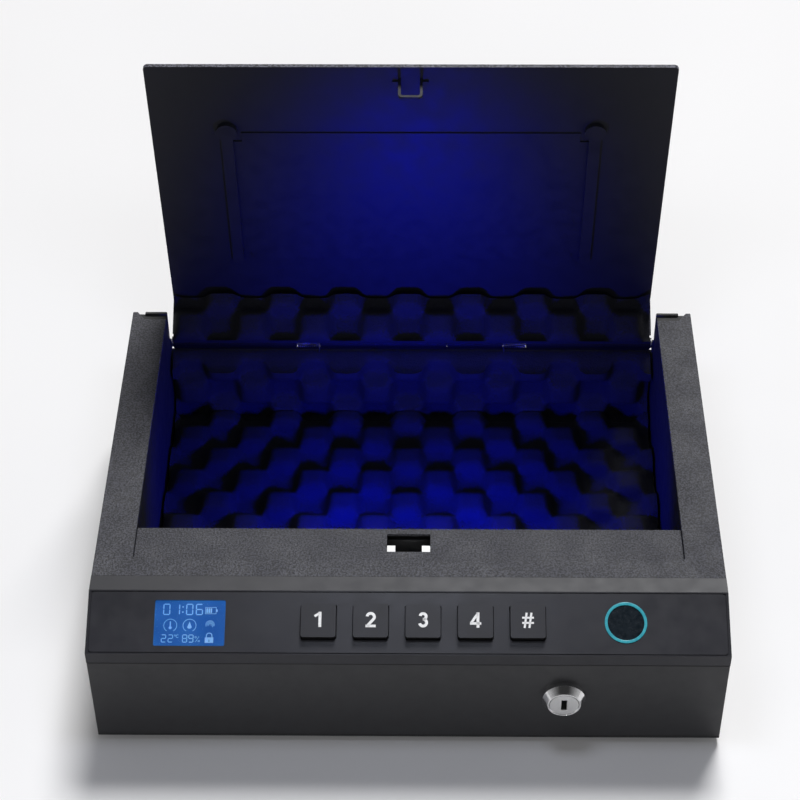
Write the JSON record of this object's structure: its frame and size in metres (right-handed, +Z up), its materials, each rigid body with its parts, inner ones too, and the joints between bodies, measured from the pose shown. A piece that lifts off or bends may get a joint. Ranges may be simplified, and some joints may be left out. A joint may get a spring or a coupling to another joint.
{
  "type": "gun safe",
  "caption": "Low desk-top pistol safe: sprung rear-hinged lid with striker, foam-lined steel case, sloping keypad panel with display and fingerprint reader, key override lock.",
  "frame": {"origin": "centre of the underside of the base pad, which stands on the desk", "axes": "+X to the right along the front, +Y towards the hinge, +Z up"},
  "size_m": [0.31, 0.2639, 0.2445],
  "materials": {
    "rubber": "matt anti-slip rubber",
    "shell_paint": "black powder coat",
    "textured_paint": "coarse orange-peel powder coat",
    "satin_paint": "smooth satin black paint",
    "lid_paint": "fine black powder coat",
    "hinge_paint": "satin black paint",
    "bezel_plastic": "satin moulded plastic",
    "overlay_film": "satin panel film",
    "key_plastic": "satin moulded plastic with white legends",
    "component_plastic": "moulded plastic",
    "white_nylon": "natural white nylon",
    "silicone": "silicone rubber",
    "display_glass": "clear window",
    "display_backlight": "blue backlit display",
    "sensor_glass": "black coated sensor",
    "sensor_ring_metal": "dark anodised ring",
    "circuit_board": "green circuit board",
    "lock_chrome": "polished chrome",
    "lock_satin": "satin nickel",
    "zinc_steel": "zinc plated steel",
    "spring_steel": "bright steel wire",
    "coil_copper": "taped copper winding",
    "battery_sleeve": "plain battery sleeve",
    "light_lens": "blue light lens",
    "foam": "black convoluted foam"
  },
  "bodies": {
    "case": {"base_pad": "rubber", "floor_pan": "shell_paint", "back_wall": "shell_paint", "left_side_shell": "shell_paint", "right_side_shell": "shell_paint", "top_frame": "textured_paint", "latch_deck": "textured_paint", "compartment_wall": "shell_paint", "front_plate": "satin_paint", "control_bezel": "bezel_plastic", "panel_overlay": "overlay_film", "display_window": "display_glass", "display_module": "display_backlight", "keypad_mat": "silicone", "main_board": "circuit_board", "board_screws": "zinc_steel", "board_components": "component_plastic", "sensor_ring": "sensor_ring_metal", "fingerprint_sensor": "sensor_glass", "sensor_board": "circuit_board", "lock_barrel": "lock_chrome", "lock_nut": "zinc_steel", "guide_studs": "zinc_steel", "latch_bracket": "zinc_steel", "bracket_screws": "zinc_steel", "latch_guide": "white_nylon", "bolt_spring": "spring_steel", "solenoid_frame": "zinc_steel", "solenoid_coil": "coil_copper", "battery_box": "component_plastic", "batteries": "battery_sleeve", "battery_cover": "component_plastic", "battery_cover_screws": "zinc_steel", "interior_light": "light_lens", "light_housing": "component_plastic", "floor_foam": "foam", "back_foam": "foam", "hinge_leaf_case": "hinge_paint", "hinge_pin": "spring_steel", "hinge_springs": "spring_steel", "hinge_rivets_case": "zinc_steel"},
    "lid": {"lid_panel": "lid_paint", "lid_stiffener": "lid_paint", "lid_striker": "lid_paint", "lid_foam": "foam", "hinge_leaf_lid": "hinge_paint", "hinge_rivets_lid": "zinc_steel"},
    "lock_core": {"lock_plug": "lock_satin", "lock_cam": "zinc_steel", "cam_screw": "zinc_steel"},
    "transfer": {"transfer_plate": "zinc_steel"},
    "bolt": {"latch_bolt": "zinc_steel", "solenoid_plunger": "spring_steel"},
    "key_1_cap": {"key_1": "key_plastic"},
    "key_2_cap": {"key_2": "key_plastic"},
    "key_3_cap": {"key_3": "key_plastic"},
    "key_4_cap": {"key_4": "key_plastic"},
    "key_hash_cap": {"key_hash": "key_plastic"}
  },
  "joints": [
    {"name": "lid_hinge", "type": "hinge", "parent": "case", "child": "lid", "pos_m": [0, 0.1187, 0.0564], "axis": [-1, 0, 0], "range_deg": [-82.5, 0], "stiffness_Nm_per_rad": 0.6, "springref_deg": 20.05, "deforming": ["hinge_springs"]},
    {"name": "lock_turn", "type": "hinge", "parent": "case", "child": "lock_core", "pos_m": [0.076, -0.1, 0.0362], "axis": [0, 1, 0], "range_deg": [0, 90]},
    {"name": "transfer_slide", "type": "slide", "parent": "case", "child": "transfer", "axis": [1, 0, 0], "range_m": [0, 0.01273]},
    {"name": "bolt_slide", "type": "slide", "parent": "case", "child": "bolt", "axis": [0, -1, 0], "range_m": [0, 0.0045], "deforming": ["bolt_spring"]},
    {"name": "key_1_press", "type": "slide", "parent": "case", "child": "key_1_cap", "axis": [0, 0.4153, -0.9097], "range_m": [0, 0.001], "stiffness_N_per_m": 900, "springref_m": -0.0005, "deforming": ["keypad_mat"]},
    {"name": "key_2_press", "type": "slide", "parent": "case", "child": "key_2_cap", "axis": [0, 0.4153, -0.9097], "range_m": [0, 0.001], "stiffness_N_per_m": 900, "springref_m": -0.0005, "deforming": ["keypad_mat"]},
    {"name": "key_3_press", "type": "slide", "parent": "case", "child": "key_3_cap", "axis": [0, 0.4153, -0.9097], "range_m": [0, 0.001], "stiffness_N_per_m": 900, "springref_m": -0.0005, "deforming": ["keypad_mat"]},
    {"name": "key_4_press", "type": "slide", "parent": "case", "child": "key_4_cap", "axis": [0, 0.4153, -0.9097], "range_m": [0, 0.001], "stiffness_N_per_m": 900, "springref_m": -0.0005, "deforming": ["keypad_mat"]},
    {"name": "key_hash_press", "type": "slide", "parent": "case", "child": "key_hash_cap", "axis": [0, 0.4153, -0.9097], "range_m": [0, 0.001], "stiffness_N_per_m": 900, "springref_m": -0.0005, "deforming": ["keypad_mat"]}
  ],
  "couplings": [
    {"joint": "transfer_slide", "follows": "lock_turn", "m_per_rad": 0.0081029},
    {"joint": "bolt_slide", "follows": "lock_turn", "m_per_rad": 0.0028648}
  ]
}
